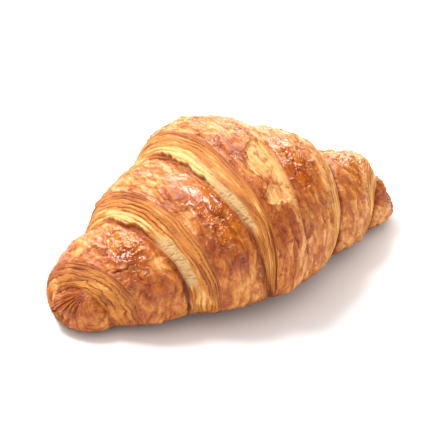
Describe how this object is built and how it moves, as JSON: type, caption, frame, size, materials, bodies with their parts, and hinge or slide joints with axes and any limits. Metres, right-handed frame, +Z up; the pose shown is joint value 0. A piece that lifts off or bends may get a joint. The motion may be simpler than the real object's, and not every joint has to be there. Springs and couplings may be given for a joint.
{
  "type": "croissant",
  "caption": "Straight butter croissant, baked golden brown, with stepped strips of laminated dough that taper to two tips.",
  "frame": {"origin": "middle of the bounding box at its base, on the surface the croissant lies on", "axes": "+X along the roll towards the right-hand tip, -Y towards the front where the point of the triangle is tucked in, +Z up"},
  "size_m": [0.1552, 0.0913, 0.0597],
  "materials": {
    "crust": "baked egg-washed pastry crust, golden brown with paler cut layers, half glossy"
  },
  "bodies": {
    "root": {"croissant": "crust"}
  },
  "joints": []
}
